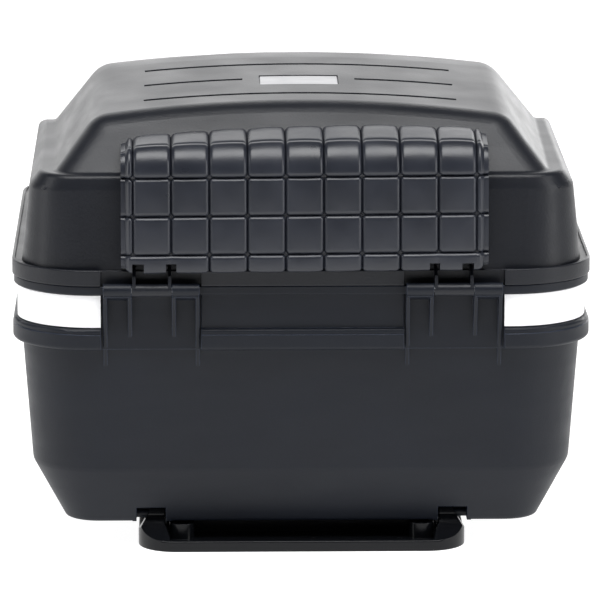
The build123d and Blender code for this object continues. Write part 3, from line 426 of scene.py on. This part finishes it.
def rounded_corners(points, rounds):
    """Cuts the corners of an open polyline, keeping its two ends."""
    for _ in range(rounds):
        quarter = points[:-1] * 0.75 + points[1:] * 0.25
        three_quarters = points[:-1] * 0.25 + points[1:] * 0.75
        middle = np.stack([quarter, three_quarters], axis=1).reshape(-1, 2)
        points = np.concatenate([points[:1], middle, points[-1:]])
    return points


def pad_outline():
    """The pad's front outline in the (y, z) plane, from its foot round to the back of its top lip."""
    turn = np.radians(np.linspace(0.0, BULGE_TURN, BULGE_STEPS))
    bulge_y = BULGE_CENTRE_MM[0] - BULGE_SIZE_MM[0] * np.cos(turn)
    bulge_z = BULGE_CENTRE_MM[1] + BULGE_SIZE_MM[1] * np.sin(turn)
    bulge = np.stack([bulge_y, bulge_z], axis=1)
    points = np.concatenate([[PAD_BOTTOM_MM, PAD_TOE_MM, FACE_LOW_MM], bulge, [LIP_END_MM, LIP_BACK_MM]])
    points = rounded_corners(points, OUTLINE_ROUNDS)
    steps = np.linalg.norm(np.diff(points, axis=0), axis=1)
    return points, np.concatenate([[0.0], np.cumsum(steps)])


def shoulder(reach, depth, amount):
    """How far a rounded shoulder has dropped, an amount of the way across its reach."""
    share = np.clip(amount / reach, 0.0, 1.0)
    return depth * (1.0 - np.sqrt(1.0 - share**2))


def cell_share(places, edges):
    """Each place's cell number, and where it is in its cell from -1 to 1."""
    cell = np.clip(np.searchsorted(edges, places, side="right") - 1, 0, len(edges) - 2)
    low, high = edges[cell], edges[cell + 1]
    return cell, np.clip((places - (low + high) / 2) / ((high - low) / 2), -1.0, 1.0)


def closed_shell(front, back):
    """Vertices and faces of a closed body between two grids of the same size."""
    rows, columns = front.shape[:2]
    vertices = np.concatenate([front.reshape(-1, 3), back.reshape(-1, 3)])
    other = rows * columns
    faces = []
    for i in range(rows - 1):
        for j in range(columns - 1):
            a = i * columns + j
            quad = (a, a + 1, a + columns + 1, a + columns)
            faces += [quad, tuple(other + corner for corner in reversed(quad))]
    rim = [(0, j) for j in range(columns)] + [(i, columns - 1) for i in range(1, rows)]
    rim += [(rows - 1, j) for j in range(columns - 2, -1, -1)] + [(i, 0) for i in range(rows - 2, 0, -1)]
    loop = [i * columns + j for i, j in rim]
    for first, second in zip(loop, loop[1:] + loop[:1]):
        faces.append((first, other + first, other + second, second))
    return vertices, faces


def backrest_pad():
    """Moulded backrest: rows of crowned cells parted by rounded grooves, over one closed body."""
    outline, lengths = pad_outline()
    rising = slice(int(outline[:, 1].argmin()), int(outline[:, 1].argmax()) + 1)
    crease_z = BULGE_CENTRE_MM[1] + BULGE_SIZE_MM[1] * math.sin(math.radians(BULGE_TURN))

    def length_at(z):
        return float(np.interp(z, outline[rising, 1], lengths[rising]))

    row_keys = [length_at(z) for z in ROW_HEIGHTS_MM]
    crease = length_at(crease_z)
    toe, lip = lengths[rising.start], lengths[rising.stop - 1]
    column_keys = [(k - (PAD_COLUMNS - 1) / 2) * PAD_PITCH_MM for k in range(PAD_COLUMNS)]
    ends = [-PAD_HALF_WIDTH_MM, PAD_HALF_WIDTH_MM]

    across = sample_places(*ends, column_keys + ends, COLUMN_SPACING_MM)
    along = sample_places(0.0, lengths[-1], row_keys + [crease, lip], ROW_SPACING_MM)
    point_y = np.interp(along, lengths, outline[:, 0])
    point_z = np.interp(along, lengths, outline[:, 1])
    slope = np.stack([np.gradient(point_y, along), np.gradient(point_z, along)])
    slope = slope / np.linalg.norm(slope, axis=0)
    normal_y, normal_z = -slope[1], slope[0]
    back_keys = (0.0, row_keys[-1], lengths[-1])
    back_y = np.interp(along, back_keys, [y for y, z in BACK_MM])
    back_z = np.interp(along, back_keys, [z for y, z in BACK_MM])

    x, v = np.meshgrid(across, along, indexing="ij")
    to_column = np.abs(x[..., None] - np.array(column_keys)).min(-1)
    to_row = np.abs(v[..., None] - np.array(row_keys)).min(-1)
    top_row = v > row_keys[-1]
    reach = np.where(top_row, TOP_GROOVE_REACH_MM, GROOVE_REACH_MM)
    into_column = np.clip(1.0 - to_column / reach, 0.0, 1.0)
    into_column[(v < row_keys[0]) & (np.abs(x) > PLAIN_END_MM)] = 0.0
    into_row = np.clip(1.0 - to_row / GROOVE_REACH_MM, 0.0, 1.0)
    into = np.clip(np.hypot(into_column, into_row), 0.0, 1.0)

    column, across_cell = cell_share(x, np.array([ends[0], *column_keys, ends[1]]))
    row, along_cell = cell_share(v, np.array([toe, *row_keys, lip]))
    crown_along = np.where(top_row, TOP_ROW_CROWN, 1.0 - along_cell**2)
    crown = CELL_CROWN_MM * (1.0 - across_cell**2) * crown_along
    tilts = np.random.default_rng(TILT_SEED).uniform(-1.0, 1.0, (2, PAD_COLUMNS + 1, len(row_keys) + 1))
    tilt = tilts[0][column, row] * across_cell + tilts[1][column, row] * along_cell
    thickness = np.hypot(point_y - back_y, point_z - back_z)[None, :]
    past_column = np.abs(x) - column_keys[-1] + END_ROLL_LEAD_MM
    rise = crown + CELL_TILT_MM * tilt * (1.0 - into**2)
    rise -= shoulder(1.0, GROOVE_DEPTH_MM, into)
    end_roll = np.minimum(END_ROLL_MM, END_THINNEST * thickness)
    rise -= end_roll * shoulder(END_ROLL_MM + END_ROLL_EXTRA_MM, 1.0, past_column)
    rise -= CREASE_MM[0] * np.exp(-(((v - crease) / CREASE_MM[1]) ** 2))

    # the top edge is arched: towards the ends the top row lies lower down the lid's front slope
    share = np.clip((v - row_keys[-1]) / (lengths[-1] - row_keys[-1]), 0.0, 1.0)
    drop = ARCH_DROP_MM * ((x - ARCH_CENTRE_MM) / PAD_HALF_WIDTH_MM) ** 2 * share
    sag_y, sag_z = -drop * math.cos(LID_SLOPE), -drop * math.sin(LID_SLOPE)
    front = np.stack([x, point_y + normal_y * rise + sag_y, point_z + normal_z * rise + sag_z], axis=-1)
    back = np.stack([x, back_y + sag_y, back_z + sag_z], axis=-1)
    for grid in (front, back):
        grid[..., 2] += grid[..., 0] * math.tan(PAD_TILT)
        grid[..., 0] += PAD_SHIFT_MM
    vertices, faces = closed_shell(front * MM, back * MM)
    pad = mesh_object("backrest_pad_moulded", vertices, faces, MATERIALS["pad_polyurethane"])

    notches = []
    for side in (-1, 1):
        for inner, outer in NOTCHES_X_MM:
            low_x, high_x = sorted((side * inner, side * outer))
            low = (low_x * MM, NOTCH_FRONT, NOTCH_FOOT)
            high = (high_x * MM, NOTCH_BACK, NOTCH_TOP_MM * MM)
            notches.append((low, high))
    cut_out(pad, notches)
    pad.data.set_sharp_from_angle(angle=SHARP_ANGLE)
    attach(pad, "lid")
    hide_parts("backrest_pad")
    return pad


# ---------------------------------------------------------------- studio

FLOOR_HALF = 8.0
TARGET = Vector((-0.002, -0.202, 0.18728))
CAMERA_DISTANCE = 4.0
CAMERA_ELEVATION = math.radians(11.0)
CAMERA_LEFT = 0.078
LENS_MM = 338.4
SENSOR_MM = 36.0
WORLD_FRONT = 0.08  # brightness on the camera's side
WORLD_BACK = 2.55  # and behind the object
TURNS_BRIGHT = (0.55, 0.98)  # direction along +Y where the one begins to give way to the other, and ends


def floor():
    corners = [(x, y, 0.0) for x, y in ((-1, -1), (1, -1), (1, 1), (-1, 1))]
    vertices = [tuple(part * FLOOR_HALF for part in corner) for corner in corners]
    plane = mesh_object("studio_floor", vertices, [(0, 1, 2, 3)], floor_paper("floor_paper"), smooth=False)


def softbox(name, place, target, size, radiance):
    """A rectangular area light of a given brightness, turned to a target."""
    light = bpy.data.lights.new(name, "AREA")
    light.shape = "RECTANGLE"
    light.size, light.size_y = size
    light.energy = radiance * math.pi * size[0] * size[1]
    thing = bpy.data.objects.new(name, light)
    thing.location = place
    thing.rotation_euler = (Vector(target) - Vector(place)).to_track_quat("-Z", "Y").to_euler()
    bpy.context.scene.collection.objects.link(thing)


def surroundings():
    """A white studio: bright behind the object, dimmer on the camera's side."""
    world = bpy.data.worlds.new("studio")
    bpy.context.scene.world = world
    world.use_nodes = True
    nodes, links = world.node_tree.nodes, world.node_tree.links
    nodes.clear()
    direction = nodes.new("ShaderNodeTexCoord")
    split = nodes.new("ShaderNodeSeparateXYZ")
    ramp = nodes.new("ShaderNodeMapRange")
    ramp.interpolation_type = "SMOOTHSTEP"
    ramp.inputs["From Min"].default_value = TURNS_BRIGHT[0]
    ramp.inputs["From Max"].default_value = TURNS_BRIGHT[1]
    ramp.inputs["To Min"].default_value = WORLD_FRONT
    ramp.inputs["To Max"].default_value = WORLD_BACK
    background = nodes.new("ShaderNodeBackground")
    output = nodes.new("ShaderNodeOutputWorld")
    links.new(direction.outputs["Generated"], split.inputs["Vector"])
    links.new(split.outputs["Y"], ramp.inputs["Value"])
    links.new(ramp.outputs["Result"], background.inputs["Strength"])
    links.new(background.outputs["Background"], output.inputs["Surface"])


def lights():
    softbox("overhead_front", (0.0, -1.0, 2.45), (0, -0.15, 0.2), (3.0, 1.2), 7.5)
    softbox("right_side", (2.4, -1.2, 0.9), (0, -0.1, 0.2), (0.6, 1.6), 6.5)
    softbox("left_side", (-2.6, -0.5, 0.9), (0, -0.1, 0.2), (0.6, 1.6), 4.5)
    softbox("rear_right", (1.7, 3.2, 0.8), (0, 0, 0.25), (1.6, 1.2), 2.2)


def camera():
    data = bpy.data.cameras.new("camera")
    data.lens = LENS_MM
    data.sensor_width = SENSOR_MM
    data.clip_end = 50.0
    thing = bpy.data.objects.new("camera", data)
    back = Vector((0.0, -math.cos(CAMERA_ELEVATION), math.sin(CAMERA_ELEVATION))) * CAMERA_DISTANCE
    thing.location = TARGET + back - Vector((CAMERA_LEFT, 0.0, 0.0))
    thing.rotation_euler = (TARGET - thing.location).to_track_quat("-Z", "Y").to_euler()
    bpy.context.scene.collection.objects.link(thing)
    bpy.context.scene.camera = thing
    bpy.context.scene.view_settings.view_transform = "Standard"


dress(frame["nodes"], frame["record"])
backrest_pad()
floor()
surroundings()
lights()
camera()
